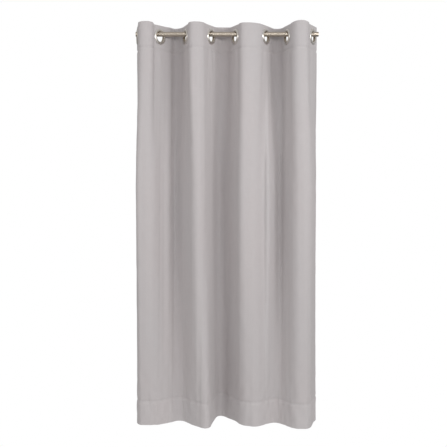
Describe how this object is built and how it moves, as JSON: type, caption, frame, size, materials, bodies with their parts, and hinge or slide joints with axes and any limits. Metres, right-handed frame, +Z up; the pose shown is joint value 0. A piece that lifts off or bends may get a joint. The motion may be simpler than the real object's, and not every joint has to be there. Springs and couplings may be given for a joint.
{
  "type": "curtain panel",
  "caption": "Grommet-top fabric curtain panel hanging in soft folds on a stretch of round metal rod; it gathers along the rod.",
  "frame": {"origin": "the rod's axis, half way along the stretch of rod", "axes": "+X along the rod to the viewer's right, +Y away from the room towards the window, +Z up"},
  "size_m": [0.7333, 0.1437, 1.5998],
  "materials": {
    "curtain_cloth": "matt, closely woven, light warm grey",
    "buckram": "stiff open weave",
    "thread": "matching polyester thread",
    "ring_metal": "satin nickel plated",
    "rod_metal": "satin champagne nickel"
  },
  "bodies": {
    "rod": {"rod_tube": "rod_metal", "left_rod_plug": "rod_metal", "right_rod_plug": "rod_metal"},
    "leg_1": {"cloth_1": "curtain_cloth", "header_stiffener_1": "buckram", "header_stitch_1": "thread", "hem_stitch_1": "thread", "front_ring_1": "ring_metal", "back_ring_1": "ring_metal"},
    "leg_2": {"cloth_2": "curtain_cloth", "header_stiffener_2": "buckram", "header_stitch_2": "thread", "hem_stitch_2": "thread", "front_ring_2": "ring_metal", "back_ring_2": "ring_metal"},
    "leg_3": {"cloth_3": "curtain_cloth", "header_stiffener_3": "buckram", "header_stitch_3": "thread", "hem_stitch_3": "thread", "front_ring_3": "ring_metal", "back_ring_3": "ring_metal"},
    "leg_4": {"cloth_4": "curtain_cloth", "header_stiffener_4": "buckram", "header_stitch_4": "thread", "hem_stitch_4": "thread", "front_ring_4": "ring_metal", "back_ring_4": "ring_metal"},
    "leg_5": {"cloth_5": "curtain_cloth", "header_stiffener_5": "buckram", "header_stitch_5": "thread", "hem_stitch_5": "thread", "front_ring_5": "ring_metal", "back_ring_5": "ring_metal"},
    "leg_6": {"cloth_6": "curtain_cloth", "header_stiffener_6": "buckram", "header_stitch_6": "thread", "hem_stitch_6": "thread", "front_ring_6": "ring_metal", "back_ring_6": "ring_metal"},
    "leg_7": {"cloth_7": "curtain_cloth", "header_stiffener_7": "buckram", "header_stitch_7": "thread", "hem_stitch_7": "thread", "front_ring_7": "ring_metal", "back_ring_7": "ring_metal"},
    "leg_8": {"cloth_8": "curtain_cloth", "header_stiffener_8": "buckram", "header_stitch_8": "thread", "hem_stitch_8": "thread", "front_ring_8": "ring_metal", "back_ring_8": "ring_metal"}
  },
  "joints": [
    {"name": "gather", "type": "hinge", "parent": "rod", "child": "leg_1", "pos_m": [-0.35515, 0, 0], "axis": [0, 0, -1], "range_deg": [0, 22]},
    {"name": "fold_1", "type": "hinge", "parent": "leg_1", "child": "leg_2", "pos_m": [-0.31217, -0.06912, 0], "axis": [0, 0, 1], "range_deg": [0, 44]},
    {"name": "fold_2", "type": "hinge", "parent": "leg_2", "child": "leg_3", "pos_m": [-0.217, 0.06338, 0], "axis": [0, 0, -1], "range_deg": [0, 44]},
    {"name": "fold_3", "type": "hinge", "parent": "leg_3", "child": "leg_4", "pos_m": [-0.11486, -0.06482, 0], "axis": [0, 0, 1], "range_deg": [0, 44]},
    {"name": "fold_4", "type": "hinge", "parent": "leg_4", "child": "leg_5", "pos_m": [-0.01594, 0.06691, 0], "axis": [0, 0, -1], "range_deg": [0, 44]},
    {"name": "fold_5", "type": "hinge", "parent": "leg_5", "child": "leg_6", "pos_m": [0.09325, -0.05426, 0], "axis": [0, 0, 1], "range_deg": [0, 44]},
    {"name": "fold_6", "type": "hinge", "parent": "leg_6", "child": "leg_7", "pos_m": [0.1966, 0.07079, 0], "axis": [0, 0, -1], "range_deg": [0, 44]},
    {"name": "fold_7", "type": "hinge", "parent": "leg_7", "child": "leg_8", "pos_m": [0.28995, -0.06392, 0], "axis": [0, 0, 1], "range_deg": [0, 44]}
  ],
  "couplings": [
    {"joint": "fold_1", "follows": "gather", "ratio": 2},
    {"joint": "fold_2", "follows": "gather", "ratio": 2},
    {"joint": "fold_3", "follows": "gather", "ratio": 2},
    {"joint": "fold_4", "follows": "gather", "ratio": 2},
    {"joint": "fold_5", "follows": "gather", "ratio": 2},
    {"joint": "fold_6", "follows": "gather", "ratio": 2},
    {"joint": "fold_7", "follows": "gather", "ratio": 2}
  ]
}
